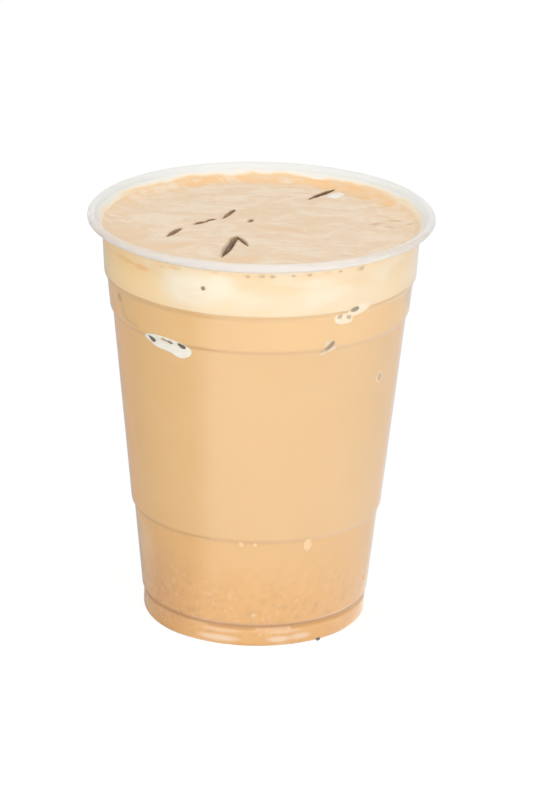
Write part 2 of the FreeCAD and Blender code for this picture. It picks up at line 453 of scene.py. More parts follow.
def makeCard():
    # a card on the table that only shows in the gloss of the cup, brighter towards the lamps
    deselectAll()
    bpy.ops.mesh.primitive_plane_add(size=cardSet["size"], location=(0, 0, cardSet["above"]))
    card = newest("glossCard")
    setOrigin(card)
    material, shader = newMaterial("glossCard", (0, 0, 0), 1.0)
    side, depth, _ = partsOf(material, objectPlace(material))
    turn = calculate(material, "ARCTAN2", side, calculate(material, "MULTIPLY", depth, -1.0))
    share = spread(material, turn, 0.0, 1.0, -math.pi, math.pi)
    ramp = addNode(material, "ShaderNodeValToRGB", {"Fac": share})
    steps = ramp.color_ramp.elements
    while len(steps) < len(cardSet["shades"]):
        steps.new(0.5)
    for step, (degrees, shade) in zip(steps, cardSet["shades"]):
        step.position = (degrees + 180) / 360
        step.color = (shade, shade, shade, 1)
    strength = calculate(material, "MULTIPLY", ramp.outputs["Color"], cardSet["strength"])
    near = fade(material, fromAxis(material, side, depth), *cardSet["near"])
    shader.inputs["Emission Color"].default_value = (1, 1, 1, 1)
    feed(material, shader, "Emission Strength", calculate(material, "MULTIPLY", strength, near))
    card.data.materials.append(material)
    card.visible_camera = card.visible_diffuse = card.visible_transmission = card.visible_shadow = False


makeCamera()
makeLamps()
makeRoom()
makeFloor()
makeCard()
bpy.context.scene.view_settings.view_transform = "Standard"
print("camera, lamps and floor are in place")


cupSet = {
    "plastic": (0.975, 0.978, 0.972),
    "lampTint": (0.96, 0.965, 0.96),
    "refraction": 1.49,
    "milky": (0.850, 0.848, 0.818),
    # painted light: the foam's color seen through the front of the rim is painted into it
    "milkyFront": (0.822, 0.782, 0.750),  # warmer where the foam shows through the rim
    "frontFade": (-0.020, 0.010),
    "milkyLevels": (0.1160, 0.1184),  # the wall turns milky from here up to the rim
    "cloud": (180.0, 2.0),
    "waver": 0.0007,
    "shares": (0.99, 0.55),  # how much light goes through the body and the rim
    "gloss": (0.07, 0.32),
}


def makePlastic():
    material, shader = newMaterial("clearPlastic", cupSet["plastic"], cupSet["gloss"][0])
    shader.inputs["IOR"].default_value = cupSet["refraction"]
    place = objectPlace(material)
    _, depth, level = partsOf(material, place)
    waver = calculate(material, "MULTIPLY", noiseOf(material, place, *cupSet["cloud"]), cupSet["waver"])
    milky = fade(material, calculate(material, "ADD", waver, level), *cupSet["milkyLevels"])
    # painted light: the front of the rim takes the foam's warm color
    front = fade(material, depth, *cupSet["frontFade"])
    rim = mixColors(material, front, cupSet["milkyFront"], cupSet["milky"])
    feed(material, shader, "Base Color", mixColors(material, milky, cupSet["plastic"], rim))
    feed(material, shader, "Transmission Weight", spread(material, milky, *cupSet["shares"]))
    feed(material, shader, "Roughness", spread(material, milky, *cupSet["gloss"]))
    letLampsThrough(material, shader, cupSet["lampTint"])
    return material


cupNode.data.materials.clear()
cupNode.data.materials.append(makePlastic())
print("the cup has its clear plastic")


latteSet = {
    "segments": 192,
    "intoWall": 0.00012,  # the drink reaches this far into the wall, so that no air shows
    "panel": (0.0264, 0.00358),
    "ringInside": (0.0275, 0.00040),
    "ringOutside": (0.0300, 0.00040),
    "wallFrom": 0.0008,
    "color": (0.785, 0.490, 0.214),
    "paleColor": (0.800, 0.510, 0.234),
    "deepColor": (0.815, 0.450, 0.150),
    "shadeColor": (0.745, 0.425, 0.205),
    # lighter above the upper step, and painted light makes it fuller on the lit right side
    "bandColor": (0.850, 0.535, 0.235),
    # painted reflection: the low left edge of the drink lighter and greyer
    "paintedLowLeftReflection": (0.865, 0.575, 0.335),
    # painted shade at the right edge and painted light at the left edge of the drink
    "paintedRightEdgeShade": (0.802, 0.445, 0.155),
    "paintedLeftEdgeLight": (0.866, 0.500, 0.222),
    "footColor": (0.810, 0.430, 0.115),
    # pale dots in the drink, and the color of the painted highlights on the foot
    "paleSpeckAndHighlightColor": (0.890, 0.640, 0.430),
    # painted highlights on the foot, pale spots in the drink's color: turn, level, half width, half height,
    # strength
    "paintedHighlights": (
        (-18.5, 0.0026, 0.0084, 0.0013, 1.0),
        (13.2, 0.0027, 0.0046, 0.0013, 1.0),
        (24.6, 0.0030, 0.0042, 0.0013, 0.85),
        (15.5, 0.0049, 0.0078, 0.0008, 0.55),
        (-17.5, 0.0050, 0.0085, 0.0009, 0.50),
        (18.0, 0.0006, 0.0150, 0.0010, 0.50),
        (-21.0, 0.0006, 0.0120, 0.0010, 0.40),
    ),
    "speckColor": (0.540, 0.285, 0.125),
    "stepShadeColor": (0.560, 0.285, 0.105),
    # painted shade: a thin darker line at each step of the wall and in the groove by the foot: from, to,
    # strength
    "stepShadeLines": (
        (0.0327, 0.0348, 0.28), (0.0914, 0.0932, 0.24), (0.1022, 0.1036, 0.20), (0.0052, 0.0084, 1.0)
    ),
    "cloud": (55.0, 3.0, 0.5, 0.4),
    "paleFade": (0.38, 0.66, 0.0, 0.7),
    "deepFades": ((0.0350, 0.0325, 0.0, 0.45), (0.0330, 0.0060, 0.0, 0.55)),
    # round runs from -1 at the left edge to 1 at the right
    "layers": (
        # painted shade near the right edge and painted light near the left edge, above the bottom
        ("paintedRightEdgeShade", ("round", 0.89, 0.975), ("level", 0.018, 0.032)),
        ("paintedLeftEdgeLight", ("round", -0.86, -0.95), ("level", 0.018, 0.032)),
        ("shadeColor", ("side", -0.010, -0.030), ("level", 0.036, 0.018, 0.0, 0.9)),
        # painted reflection lightens the low left edge
        ("paintedLowLeftReflection", ("side", -0.0270, -0.0325), ("level", 0.036, 0.024)),
        # lighter above the upper step, with painted light on the right side
        ("bandColor", ("level", 0.0915, 0.0945), ("side", -0.014, 0.012, 0.35, 1.0)),
    ),
    "grain": (420.0, 2.0, 0.6, 0.3),
    "cellScale": 620.0,
    # fine specks low in the drink, and which of the cells are dark or pale dots
    "specks": (
        ("speckColor", ("grain", 0.50, 0.66, 0.0, 0.20), ("level", 0.034, 0.012)),
        ("speckColor", ("cell", 0.46, 0.26), ("level", 0.034, 0.012), ("chance", 0.53, 0.60, 0.0, 0.26)),
        ("paleSpeckAndHighlightColor", ("cell", 0.46, 0.26), ("level", 0.034, 0.012), ("chance", 0.44, 0.38, 0.0, 0.24)),
        ("footColor", ("level", 0.0048, 0.0010, 0.0, 0.6)),
    ),
    "highlightDepth": 0.006,
    "soft": (0.25, (1.0, 0.55, 0.30), 0.0016),
    "finish": (0.45, 0.10),  # roughness and specular
    "bump": (0.00003, 0.15),
}


def makeLatte():
    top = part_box("latte")[1][2]
    rings = [latteSet["panel"], latteSet["ringInside"], latteSet["ringOutside"]]
    rings += wallRings(latteNode, latteSet["wallFrom"], top - 0.00002, latteSet["intoWall"])
    piece = startDisc("milkyDrink", *rings[0], latteSet["segments"])
    extrudeRings(rings)
    endEdit()
    turnNormalsOut(piece)
    smoothShade(piece, 50)
    return piece


def makeLatteMaterial():
    material, shader = newMaterial("milkyLatte", latteSet["color"], *latteSet["finish"])
    place = objectPlace(material)
    side, depth, level = partsOf(material, place)
    grain = noiseOf(material, place, *latteSet["grain"])
    cells = addNode(
        material, "ShaderNodeTexVoronoi", {"Vector": place, "Scale": latteSet["cellScale"]}, feature="F1"
    ).outputs
    measures = {
        "level": level,
        "side": side,
        "round": calculate(material, "DIVIDE", side, fromAxis(material, side, depth)),
        "grain": grain,
        "cell": cells["Distance"],
        "chance": cells["Color"],
    }
    cloud = noiseOf(material, place, *latteSet["cloud"])
    color = paint(material, latteSet["color"], latteSet["paleColor"], (cloud, *latteSet["paleFade"]))
    deep = calculate(material, "ADD", *(fade(material, level, *limits) for limits in latteSet["deepFades"]))
    color = mixColors(material, deep, color, latteSet["deepColor"])
    color = paintLayers(material, color, latteSet, latteSet["layers"] + latteSet["specks"], measures)
    # painted highlights: pale spots on the foot where the lamps shine back
    for turn, height, halfWidth, halfHeight, strength in latteSet["paintedHighlights"]:
        size = (halfWidth, latteSet["highlightDepth"], halfHeight)
        spot = spotOnWall(material, place, latteNode, turn, height, size)
        color = paint(material, color, latteSet["paleSpeckAndHighlightColor"], (spot, 0.0, 0.7, 0.0, strength))
    # painted shade: a darker line at each step
    for bottom, top, strength in latteSet["stepShadeLines"]:
        middle = (bottom + top) / 2
        up, down = (level, bottom, middle, 0.0, strength), (level, middle, top, 1.0, 0.0)
        color = paint(material, color, latteSet["stepShadeColor"], up, down)
    feed(material, shader, "Base Color", color)
    makeSoft(shader, *latteSet["soft"])
    addBump(material, shader, grain, *latteSet["bump"])
    return material


latte = makeLatte()
latte.data.materials.append(makeLatteMaterial())
finishPiece(latte)
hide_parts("latte")
print("the drink fills the cup:", len(latte.data.polygons), "faces")


iceSet = {
    # each ice corner: one end, the other end, width, ridge side, how dark it is, how strongly the foam round
    # it is darkened
    "corners": (
        ((-26.6, -11.2), (-22.2, -1.4), 1.5, -0.1, "brown", 0.45),
        ((-19.5, 0.7), (-15.2, 4.7), 1.3, 0.1, "brown", 0.40),
        ((-12.6, 6.8), (-16.4, 3.7), 0.6, 0.1, "brown", 0.35),
        ((-11.2, 6.4), (-7.4, 17.0), 1.0, -0.1, "brown", 0.45),
        ((-3.6, 4.0), (-2.5, 7.2), 1.1, 0.0, "brown", 0.40),
        ((-11.0, -29.4), (-7.0, -9.0), 2.2, 0.1, "dark", 0.60),
        ((-3.3, -18.0), (-6.6, -8.6), 1.0, -0.1, "brown", 0.50),
        ((-8.4, -14.5), (-6.5, -8.2), 2.0, 0.0, "brown", 0.50),
        ((12.6, 26.0), (21.4, 38.2), 1.6, 0.1, "dark", 0.40),
    ),
    "ridgeShare": 0.35,
    # painted highlights: pale wedges where an ice face catches the light: one end, the other end, width, ridge
    # side
    "paintedHighlights": (((18.6, 26.2), (24.6, 35.8), 3.6, 0.0),),
    "highlightRidgeShare": 0.85,
    "ridge": 0.00018,  # how far a ridge stands above the foam round it
    "ridgeLength": 0.92,
    "cuts": (0.12, -0.22),
    "tipFrom": 0.8,  # the ends begin at this share of the half length
    "tail": (0.15, 1, 1),
    "head": (0.60, 0.94, 1),
    "tipDrop": 0.0004,
    "rounding": 0.00010,
    "depth": 0.0016,
    "pit": 0.0007,
    "pitEdge": 0.00035,
    "pitEnds": (0.45, 0.14, 0.12),
    "pitSlope": 2.2,
    "finish": (0.42, 0.2),
    "cloud": (420.0, 3.0, 0.6),
    "fade": (0.42, 0.70),
    "bump": (0.00008, 0.3),
    "refraction": 1.31,
    "dark": (0.135, 0.078, 0.040),
    "darkTip": (0.215, 0.130, 0.070),
    "brown": (0.265, 0.165, 0.090),
    "brownTip": (0.390, 0.255, 0.150),
    # the pale ice is a painted highlight on an ice face
    "pale": (0.860, 0.820, 0.740),
    "paleTip": (0.930, 0.910, 0.870),
}

foamSet = {
    "segments": 320,
    "intoWall": 0.00012,
    "level": 0.1155,
    "meniscusTop": 0.1168,
    "climb": (  # over the clinging edge: how far in, how far up
        (0.0004, 0.00010), (0.0007, -0.00020), (0.0011, -0.00055),
        (0.0017, -0.00090), (0.0025, -0.00113), (0.0034, -0.00124),
    ),
    "ringGap": 0.00055,
    "middle": 0.0006,
    "topRadius": 0.0449,
    "waves": (("swell", 0.016, 0.00044), ("ripple", 0.0035, 0.00014)),  # name, size, height
    "calmEdge": (0.0006, 0.0040),  # no waves this close to the wall, and full ones further in
    "sideColor": (0.880, 0.655, 0.390),
    "sidePale": (0.925, 0.815, 0.640),
    "sideTan": (0.900, 0.625, 0.335),
    "sideAmber": (0.955, 0.620, 0.242),
    "sideCaramel": (0.850, 0.500, 0.200),
    # on the side: pale clouds in front are painted light, amber and tan clouds towards both edges are painted
    # shade, and the two caramel ones are streaks: turn, level, half width, half height, color, strength
    "clouds": (
        (-26, 0.1100, 0.0130, 0.0070, "sidePale", 1.0),
        (-14, 0.1120, 0.0060, 0.0050, "sidePale", 0.7),
        (22, 0.1110, 0.0080, 0.0060, "sidePale", 0.5),
        (-72, 0.1090, 0.0260, 0.0160, "sideAmber", 0.9),
        (-52, 0.1065, 0.0190, 0.0085, "sideAmber", 0.95),
        (58, 0.1062, 0.0120, 0.0060, "sideAmber", 0.55),
        (74, 0.1090, 0.0170, 0.0140, "sideTan", 0.5),
        (-58, 0.1130, 0.0075, 0.0011, "sideCaramel", 0.9),
        (-47.5, 0.1127, 0.0045, 0.0013, "sideCaramel", 0.9),
    ),
    "topColor": (0.795, 0.618, 0.438),
    "topPale": (0.835, 0.690, 0.532),
    "topTan": (0.800, 0.560, 0.345),
    "caramel": (0.830, 0.540, 0.280),
    # the darker color painted round the ice corners
    "stain": (0.420, 0.270, 0.160),
    # streaks on the top: x, y, half length, half width, turn, color, strength
    "streaks": (
        (6.1, -2.0, 12.0, 3.0, -22, "topTan", 0.75),
        (-25.2, -17.5, 10.0, 5.0, 12, "topTan", 0.65),
        (-5.3, -30.8, 9.0, 3.0, 5, "topTan", 0.55),
        (10.5, -29.5, 9.0, 3.0, 12, "topTan", 0.45),
        (-36.0, -8.0, 6.0, 9.0, 10, "topTan", 0.45),
        (1.0, -16.0, 9.0, 3.5, -18, "topPale", 0.80),
        (-20.1, 14.9, 14.0, 3.5, 6, "topPale", 0.70),
        (-9.0, -3.0, 4.0, 2.2, 40, "topPale", 0.80),
        (-27.0, 2.0, 5.0, 2.0, 20, "topPale", 0.60),
        (32.3, 3.5, 2.8, 1.1, 5, "brownStreak", 0.60),
        (36.2, 0.9, 2.4, 0.9, -12, "brownStreak", 0.50),
        (38.1, 6.6, 3.0, 1.1, 10, "brownStreak", 0.65),
        (42.0, 4.6, 2.4, 1.2, 0, "brownStreak", 0.50),
        (29.3, 33.0, 4.0, 3.0, -40, "caramel", 0.90),
        (36.0, 26.0, 5.0, 2.5, -60, "caramel", 0.70),
        (23.5, -24.5, 2.2, 0.8, 15, "brownStreak", 0.30),
        (-14.0, 22.0, 3.0, 1.2, 10, "brownStreak", 0.25),
    ),
    "brownStreak": (0.620, 0.390, 0.200),
    "drift": (26.0, 2.0, 0.5),
    "driftReach": 0.030,
    "grain": (math.radians(-10), 2.6),  # which way the streaks run, and how drawn out they are
    "swirl": (70.0, 4.0, 0.55, 0.9),
    "streak": (150.0, 5.0, 0.62, 1.4),
    "mottle": (290.0, 4.0, 0.58, 0.6),
    "patchy": (85.0, 3.0, 0.6, 0.8),
    "poreScale": 1500.0,
    "topBump": (0.00018, 0.30),
    "topFinish": (0.62, 0.30),
    "sideFinish": (0.55, 0.10),
    "paleFade": (0.42, 0.68, 0.0, 0.40),
    "cloudFade": (0.30, 0.55, 0.55, 1.0),
    "cloudDepth": 0.012,
    "topLayers": (
        ("topPale", ("swirl", 0.43, 0.59)),
        ("topTan", ("streak", 0.54, 0.70, 0.0, 0.64)),
        ("topTan", ("mottle", 0.53, 0.68, 0.0, 0.46)),
        ("topPale", ("mottle", 0.46, 0.32, 0.0, 0.46)),
        (
            "caramel",
            ("radius", 0.0365, 0.0440), ("patchy", 0.40, 0.62, 0.08, 0.95), ("depth", 0.005, 0.036, 0.22, 1.0),
        ),
    ),
    "sideCloud": (70.0, 3.0, 0.55, 0.7),
    "sideStain": (150.0, 3.0, 0.6, 0.8),
    "sideLayers": (
        ("sidePale", ("level", 0.1130, 0.1080, 0.0, 0.30)),
        ("sideTan", ("level", 0.1062, 0.1036, 0.0, 0.35)),
        ("sideTan", ("level", 0.1142, 0.1162), ("stain", 0.42, 0.64, 0.0, 0.60)),
    ),
    "soft": (0.2, (1.0, 0.7, 0.45), 0.0010),
}


def foamRings():
    # up the wall, over the clinging edge and in to the middle
    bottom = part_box("foam")[0][2]
    wall = wallRings(foamNode, bottom + 0.00002, foamSet["meniscusTop"] - 0.0001, foamSet["intoWall"])
    edge, top = wall[-1]
    rings = wall + [(edge - inward, top + rise) for inward, rise in foamSet["climb"]]
    radius = rings[-1][0]
    count = round((radius - foamSet["middle"]) / foamSet["ringGap"])
    for i in range(1, count + 1):
        share = i / count
        rings.append((radius + (foamSet["middle"] - radius) * share, foamSet["level"]))
    return rings


def makeFoam():
    rings = foamRings()
    piece = startDisc("foamLayer", *rings[0], foamSet["segments"])
    extrudeRings(rings)
    endEdit()
    turnNormalsOut(piece)
    return piece


def weighTop(piece, name, weigh):
    # gives each point on top of the foam its weight in a group
    group = piece.vertex_groups.new(name=name)
    for vertex in piece.data.vertices:
        if vertex.co.z > foamSet["level"] - 0.0005:
            weight = weigh(vertex.co)
            if weight > 0:
                group.add([vertex.index], weight, "REPLACE")
    return group.name


def openWeight(spot, rim):
    # 1 over the open foam, falling to 0 at the wall
    still, full = foamSet["calmEdge"]
    return min(1.0, max(0.0, (rim - still - math.hypot(spot.x, spot.y)) / full))


def pitWeight(spot):
    # how deep the foam dips at this spot, from 0 to 1, round the nearest ice corner
    deepest = 0.0
    tailEnd, headEnd, blunt = iceSet["pitEnds"]
    for one, other, width, _, _, _ in iceSet["corners"]:
        start, end = Vector(one) / 1000, Vector(other) / 1000
        along = end - start
        length = along.length
        along.normalize()
        reach = width / 2000 - 0.0001
        away = Vector((spot.x, spot.y)) - start
        run = away.dot(along)
        if run < -0.002 or run > length + 0.002:
            continue
        side = abs(away.x * along.y - away.y * along.x)
        taper = min(1.0, max(0.0, min(run / tailEnd, (length - run) / headEnd) / length + blunt))
        inside = 1.0 - side / (reach * taper + iceSet["pitEdge"])
        deepest = max(deepest, min(1.0, inside * iceSet["pitSlope"]) * taper)
    return deepest


def addWave(piece, name, strength, middle, group):
    modifier = piece.modifiers.new(name, "DISPLACE")
    modifier.direction = "Z"
    modifier.mid_level = middle
    modifier.strength = strength
    modifier.vertex_group = group
    return modifier


def rippleFoam(piece):
    rim = wallRadius(foamNode, foamSet["level"])
    openFoam = weighTop(piece, "open", lambda spot: openWeight(spot, rim))
    pits = weighTop(piece, "pits", pitWeight)
    for name, size, height in foamSet["waves"]:
        wave = addWave(piece, name, height, 0.5, openFoam)
        wave.texture = bpy.data.textures.new(name, "CLOUDS")
        wave.texture.noise_scale = size
        wave.texture_coords = "LOCAL"
    addWave(piece, "pits", -iceSet["pit"], 0.0, pits)
    applyModifiers(piece)


def makeFoamTopMaterial():
    material, shader = newMaterial("foamTop", foamSet["topColor"], *foamSet["topFinish"])
    place = objectPlace(material)
    side, depth, _ = partsOf(material, place)
    drift = calculate(material, "MULTIPLY", noiseOf(material, place, *foamSet["drift"]), foamSet["driftReach"])
    shift = addNode(material, "ShaderNodeCombineXYZ", {1: drift}).outputs[0]
    bent = addNode(material, "ShaderNodeVectorMath", {0: place, 1: shift}, operation="ADD").outputs["Vector"]
    turn, drawnOut = foamSet["grain"]
    stretched = mapPlace(material, bent, rotation=(0, 0, turn), scale=(1.0, drawnOut, 1.0))
    measures = {"radius": fromAxis(material, side, depth), "depth": depth}
    for name, where in (("swirl", stretched), ("streak", stretched), ("mottle", place), ("patchy", place)):
        measures[name] = noiseOf(material, where, *foamSet[name])
    color = paintLayers(material, foamSet["topColor"], foamSet, foamSet["topLayers"], measures)
    level = foamSet["level"]
    for x, y, length, width, turn, name, strength in foamSet["streaks"]:
        centre = (x / 1000, y / 1000 + foamSet["driftReach"] / 2, level)
        spot = spotAt(material, bent, centre, turn, (length / 1000, width / 1000, 0.003))
        color = paint(material, color, foamSet[name], (spot, 0.0, 0.7, 0.0, strength))
    # the foam is painted darker round each ice corner, which softens its slit
    for one, other, width, _, _, strength in iceSet["corners"]:
        start, end = Vector(one) / 1000, Vector(other) / 1000
        middle, along = (start + end) / 2, end - start
        turn = -math.degrees(math.atan2(along.x, along.y))
        size = (width / 2000 + 0.0007, along.length / 2 + 0.0010, 0.004)
        spot = spotAt(material, place, (middle.x, middle.y, level), turn, size)
        color = paint(material, color, foamSet["stain"], (spot, 0.0, 0.55, 0.0, strength))
    feed(material, shader, "Base Color", color)
    makeSoft(shader, *foamSet["soft"])
    pores = {"Vector": place, "Scale": foamSet["poreScale"]}
    cells = addNode(material, "ShaderNodeTexVoronoi", pores, feature="F1").outputs["Distance"]
    addBump(material, shader, calculate(material, "ADD", cells, measures["streak"]), *foamSet["topBump"])
    return material


def makeFoamSideMaterial():
    material, shader = newMaterial("foamSide", foamSet["sideColor"], *foamSet["sideFinish"])
    place = objectPlace(material)
    _, _, level = partsOf(material, place)
    wide = mapPlace(material, place, scale=(1.0, 1.0, 2.6))
    cloud = noiseOf(material, wide, *foamSet["sideCloud"])
    stain = noiseOf(material, wide, *foamSet["sideStain"])
    color = paint(material, foamSet["sideColor"], foamSet["sidePale"], (cloud, *foamSet["paleFade"]))
    # painted light in front, painted shade towards the edges, and caramel streaks
    for turn, height, halfWidth, halfHeight, name, strength in foamSet["clouds"]:
        size = (halfWidth, foamSet["cloudDepth"], halfHeight)
        spot = spotOnWall(material, place, foamNode, turn, height, size)
        fades = (spot, 0.0, 0.75, 0.0, strength), (cloud, *foamSet["cloudFade"])
        color = paint(material, color, foamSet[name], *fades)
    color = paintLayers(material, color, foamSet, foamSet["sideLayers"], {"level": level, "stain": stain})
    feed(material, shader, "Base Color", color)
    makeSoft(shader, *foamSet["soft"])
    return material


foam = makeFoam()
rippleFoam(foam)
foam.data.materials.append(makeFoamSideMaterial())
foam.data.materials.append(makeFoamTopMaterial())
for face in foam.data.polygons:
    high = face.center.z > foamSet["level"] - 0.002 and face.normal.z > 0.2
    onTop = high and math.hypot(face.center.x, face.center.y) < foamSet["topRadius"]
    face.material_index = 1 if onTop else 0
smoothShade(foam, 60)
finishPiece(foam)
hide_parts("foam")
print("the foam lies on the drink:", len(foam.data.polygons), "faces")


def makeWedge(name, one, other, width, ridgeSide, ridgeShare):
    # a block drawn up to an off-centre ridge, with both ends drawn in
    start, end = Vector((*one, 0)) / 1000, Vector((*other, 0)) / 1000
    along = end - start
    middle = (start + end) / 2
    tip = along.length / 2 * iceSet["tipFrom"]
    deselectAll()
    bpy.ops.mesh.primitive_cube_add(size=1.0, location=(0, 0, 0))
    piece = newest(name)
    startEdit()
    bpy.ops.transform.resize(value=(width / 1000, along.length, iceSet["depth"]))
    for share in iceSet["cuts"]:
        bpy.ops.mesh.select_all(action="SELECT")
        bpy.ops.mesh.bisect(plane_co=(0, along.length * share, 0), plane_no=(0, 1, 0))
    selectPoints(piece, lambda spot: spot.z > 0)
    bpy.ops.transform.resize(value=(ridgeShare, iceSet["ridgeLength"], 1), center_override=(0, 0, 0))
    bpy.ops.transform.translate(value=(ridgeSide * width / 1000, 0, 0))
    selectPoints(piece, lambda spot: spot.y < -tip)
    bpy.ops.transform.resize(value=iceSet["tail"], center_override=(0, 0, 0))
    selectPoints(piece, lambda spot: spot.y > tip)
    bpy.ops.transform.resize(value=iceSet["head"], center_override=(0, 0, 0))
    selectPoints(piece, lambda spot: abs(spot.y) > tip and spot.z > 0)
    bpy.ops.transform.translate(value=(0, 0, -iceSet["tipDrop"]))
    endEdit()
    bevel = piece.modifiers.new("rounding", "BEVEL")
    bevel.width = iceSet["rounding"]
    bevel.segments = 2
    applyModifiers(piece)
    piece.rotation_euler = (0, 0, -math.atan2(along.x, along.y))
    piece.location = (middle.x, middle.y, foamSet["level"] + iceSet["ridge"] - iceSet["depth"] / 2)
    setOrigin(piece)
    turnNormalsOut(piece)
    smoothShade(piece, 25)
    return piece


def makeIceMaterial(name, kind):
    material, shader, cloud = makeClouded(name, iceSet[kind], iceSet[kind + "Tip"], iceSet)
    shader.inputs["IOR"].default_value = iceSet["refraction"]
    addBump(material, shader, cloud, *iceSet["bump"])
    return material


darkIce = makeIceMaterial("coffeeDarkIce", "dark")
brownIce = makeIceMaterial("coffeeBrownIce", "brown")
highlightIce = makeIceMaterial("highlightIce", "pale")

wedges = []
for index, (one, other, width, ridgeSide, shade, _) in enumerate(iceSet["corners"]):
    wedge = makeWedge(f"iceCorner{index}", one, other, width, ridgeSide, iceSet["ridgeShare"])
    wedge.data.materials.append(darkIce if shade == "dark" else brownIce)
    wedges.append(wedge)
iceCorners = joinPieces(wedges, "iceCorners")
finishPiece(iceCorners)

# pale wedges painted as the highlight on an ice face
paintedHighlights = []
for index, (one, other, width, ridgeSide) in enumerate(iceSet["paintedHighlights"]):
    highlightWedge = makeWedge(f"paintedIceHighlight{index}", one, other, width, ridgeSide, iceSet["highlightRidgeShare"])
    highlightWedge.data.materials.append(highlightIce)
    paintedHighlights.append(highlightWedge)
paintedIceHighlights = joinPieces(paintedHighlights, "paintedIceHighlights")
finishPiece(paintedIceHighlights)
print("ice corners break the foam")


markSet = {
    "points": 36,
    "insets": 4,
    "thickness": 0.00005,
    "apart": 0.003,  # how far from the wall a mark starts
    "finish": (0.5, 0.1),
    "cloud": (700.0, 3.0, 0.6),
    "fade": (0.40, 0.65),
}

# piece: material, how far inside the outer face of the wall, slot, both colors, then for each mark
# turn, level, width, height and tilt, and its pulls: from, by and how far round it reaches, all in mm
markPieces = {
    "creamPatches": ("creamPatch", 0.00030, "foam", (0.865, 0.820, 0.715), (0.900, 0.865, 0.785), (
        (
            -38.3, 91.5, 16.2, 4.3, 2,
            ((4.6, -1.8), (0.7, -1.4), 3.4), ((-6.0, -1.2), (0.2, 0.4), 2.4), ((7.6, -0.6), (0.4, -0.7), 2.4),
        ),
    )),
    "paleHalos": ("paleHalo", 0.00030, "foam", (0.930, 0.745, 0.520), (0.940, 0.785, 0.580), (
        (32.6, 101.0, 5.8, 3.2, 0, ((-2.2, 0.9), (-0.3, 0.6), 1.4), ((2.0, -0.9), (0.6, -0.2), 1.4)),
        (38.4, 103.0, 7.4, 3.3, -8, ((3.0, 0.6), (0.5, 0.5), 1.8), ((-2.6, -0.6), (-0.4, -0.3), 1.6)),
    )),
    "softHalos": ("softHalo", 0.00030, "foam", (0.830, 0.590, 0.350), (0.850, 0.625, 0.390), (
        (26.4, 94.4, 2.6, 1.3, -40),
        (29.0, 92.2, 3.4, 1.2, -35),
        (25.2, 91.2, 2.0, 1.0, -20),
        (57.4, 79.0, 3.4, 3.4, 0),
    )),
    "darkIceEdges": ("darkIceEdge", 0.00022, "drink", (0.130, 0.088, 0.062), (0.200, 0.135, 0.090), (
        (-45.0, 91.6, 2.2, 1.6, 8, ((-0.9, 0.3), (-0.4, 0.3), 0.8)),
        (-30.4, 91.8, 2.2, 1.4, 8, ((-0.8, 0.2), (-0.4, 0.3), 0.8)),
    )),
    "brownIceEdges": ("brownIceEdge", 0.00022, "drink", (0.290, 0.215, 0.140), (0.370, 0.280, 0.185), (
        (-35.8, 92.3, 1.9, 1.1, 6),
        (36.9, 103.5, 2.5, 1.4, -10, ((-0.9, -0.1), (-0.6, 0.1), 0.9)),
        (27.4, 93.1, 3.0, 1.3, -42, ((1.1, 0.2), (0.8, 0.1), 0.9)),
        (-20.4, 110.8, 1.3, 1.2, 0),
    )),
    "greyIceEdges": ("greyIceEdge", 0.00022, "drink", (0.560, 0.385, 0.205), (0.615, 0.430, 0.240), (
        (-38.4, 92.7, 2.4, 0.9, 8),
        (30.7, 101.9, 1.7, 1.4, 10),
        (34.8, 101.3, 1.8, 1.2, 25),
        (25.2, 91.9, 2.2, 0.7, -25),
        (57.5, 79.0, 1.8, 2.4, 4),
        (-65.6, 99.7, 2.6, 2.4, 8),
        (75.5, 101.0, 3.6, 2.6, 0),
    )),
    "faintIceEdgesAndEdgeShade": ("faintIceEdgeAndEdgeShade", 0.00022, "drink", (0.720, 0.465, 0.260), (0.750, 0.500, 0.290), (
        # the first two are painted shade along the right edge of the cup, the rest are faint ice edges
        (73.5, 100.4, 5.6, 4.8, 0),
        (77.5, 97.4, 3.0, 3.4, 0),
        (-63.4, 96.6, 0.9, 3.8, -4),
        (-60.6, 94.5, 0.6, 2.8, -60),
        (-55.5, 94.0, 5.0, 0.5, 4),
    )),
    "brownBubbles": ("brownBubble", 0.00030, "foam", (0.620, 0.420, 0.235), (0.710, 0.510, 0.310), (
        (-4.3, 115.35, 1.3, 0.8, 0),
        (0.6, 115.50, 1.8, 0.9, 0),
        (4.5, 115.45, 1.6, 0.9, 0),
        (11.8, 115.55, 1.2, 0.7, 0),
        (17.7, 115.50, 1.5, 0.9, 0),
        (29.5, 115.60, 1.2, 0.7, 0),
    )),
    "caramelSpots": ("caramelSpot", 0.00030, "foam", (0.830, 0.580, 0.310), (0.860, 0.640, 0.390), (
        (-31.5, 115.3, 3.6, 0.9, 4),
        (-37.5, 114.9, 2.6, 0.7, 8),
        (-16.0, 115.7, 2.2, 0.8, 0),
        (-10.5, 115.7, 1.8, 0.7, 0),
        (24.5, 115.8, 1.6, 0.7, 0),
        (38.2, 115.25, 3.4, 1.7, 0),
    )),
    "brownFleck": ("brownFleck", 0.00022, "foam", (0.620, 0.420, 0.235), (0.710, 0.510, 0.310), (
        (38.4, 115.3, 1.9, 0.9, -5),
    )),
}


